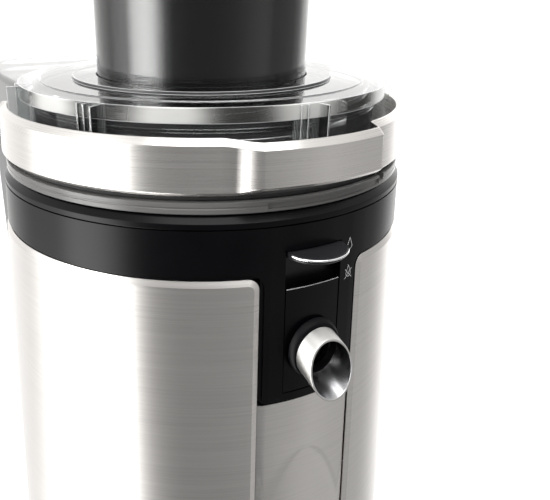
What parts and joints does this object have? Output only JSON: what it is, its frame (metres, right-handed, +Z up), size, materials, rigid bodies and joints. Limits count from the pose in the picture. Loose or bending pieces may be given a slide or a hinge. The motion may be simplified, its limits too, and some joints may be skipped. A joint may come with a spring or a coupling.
{
  "type": "centrifugal juicer",
  "caption": "Centrifugal juicer with a clear tiered lid and round feed chute, a twist-lock ring, a slanted metal spout with drip stop, and a rear pulp container.",
  "frame": {"origin": "centre of the bounding box's bottom face, on the surface that the feet stand on", "axes": "+Z up along the motor axis, -Y towards the spout, +Y towards the pulp container"},
  "size_m": [0.1996, 0.2942, 0.4057],
  "materials": {
    "brushed_steel": "horizontally brushed stainless steel",
    "satin_steel": "satin stainless steel",
    "gloss_black": "gloss black moulding",
    "matt_black": "fine-textured black moulding",
    "clear_plastic": "clear moulding",
    "smoked_plastic": "translucent grey moulding",
    "rubber": "moulded rubber",
    "chrome": "bright chrome",
    "laminated_iron": "laminated core",
    "copper": "copper windings and bars",
    "zinc_plated_steel": "zinc-plated steel",
    "circuit_board": "solder mask"
  },
  "bodies": {
    "base": {"base_plate": "matt_black", "base_screw_1": "zinc_plated_steel", "base_screw_2": "zinc_plated_steel", "base_screw_3": "zinc_plated_steel", "base_screw_4": "zinc_plated_steel", "bowl_gasket": "rubber", "carbon_brush_1": "matt_black", "carbon_brush_2": "matt_black", "collar_trim": "gloss_black", "container_shelf": "gloss_black", "control_board": "circuit_board", "cord_gland": "rubber", "foot_1": "rubber", "foot_2": "rubber", "foot_3": "rubber", "foot_4": "rubber", "front_shroud": "gloss_black", "front_strip": "brushed_steel", "interlock_switch": "matt_black", "juice_bowl": "smoked_plastic", "knob_bezel": "satin_steel", "left_panel": "brushed_steel", "lower_bearing": "zinc_plated_steel", "motor_bracket": "zinc_plated_steel", "motor_deck": "matt_black", "motor_housing": "matt_black", "motor_screw_1": "zinc_plated_steel", "motor_screw_2": "zinc_plated_steel", "motor_screw_3": "zinc_plated_steel", "motor_screw_4": "zinc_plated_steel", "motor_stator": "laminated_iron", "rear_cover": "matt_black", "right_panel": "brushed_steel", "speed_switch": "matt_black", "spout_hub": "gloss_black", "spout_nozzle": "matt_black", "spout_plate": "gloss_black", "spout_sleeve": "satin_steel", "upper_bearing": "zinc_plated_steel"},
    "lid": {"lid": "clear_plastic", "feed_chute": "clear_plastic"},
    "pusher": {"pusher_body": "gloss_black", "pusher_cap": "gloss_black"},
    "lock_ring": {"lock_ring": "brushed_steel"},
    "spindle": {"motor_rotor": "copper", "commutator": "copper", "motor_shaft": "zinc_plated_steel", "cooling_fan": "matt_black", "drive_coupling": "gloss_black", "basket_hub": "gloss_black", "grater_disc": "satin_steel", "filter_mesh": "satin_steel", "basket_rim": "satin_steel"},
    "drip_stop": {"drip_stop_slider": "gloss_black", "drip_stop_tab": "gloss_black", "tab_trim": "chrome"},
    "speed_knob": {"speed_knob": "gloss_black", "knob_shaft": "zinc_plated_steel"},
    "pulp_container": {"pulp_container": "smoked_plastic"}
  },
  "joints": [
    {"name": "lid_lift", "type": "slide", "parent": "base", "child": "lid", "axis": [0, 0, 1], "range_m": [0, 0.08]},
    {"name": "pusher_lift", "type": "slide", "parent": "lid", "child": "pusher", "axis": [0, 0, 1], "range_m": [0, 0.15]},
    {"name": "lock_ring_twist", "type": "hinge", "parent": "base", "child": "lock_ring", "pos_m": [0, -0.03391, 0.25], "axis": [0, 0, 1], "range_deg": [0, 18]},
    {"name": "spindle_spin", "type": "hinge", "parent": "base", "child": "spindle", "pos_m": [0, -0.03391, 0.12], "axis": [0, 0, 1], "continuous": true},
    {"name": "drip_stop_slide", "type": "slide", "parent": "base", "child": "drip_stop", "axis": [0, 0, -1], "range_m": [0, 0.011]},
    {"name": "speed_knob_turn", "type": "hinge", "parent": "base", "child": "speed_knob", "pos_m": [0, -0.13131, 0.039], "axis": [0, -0.9991, 0.042], "range_deg": [0, 135]},
    {"name": "container_slide", "type": "slide", "parent": "base", "child": "pulp_container", "axis": [0, 1, 0], "range_m": [0, 0.12]}
  ]
}
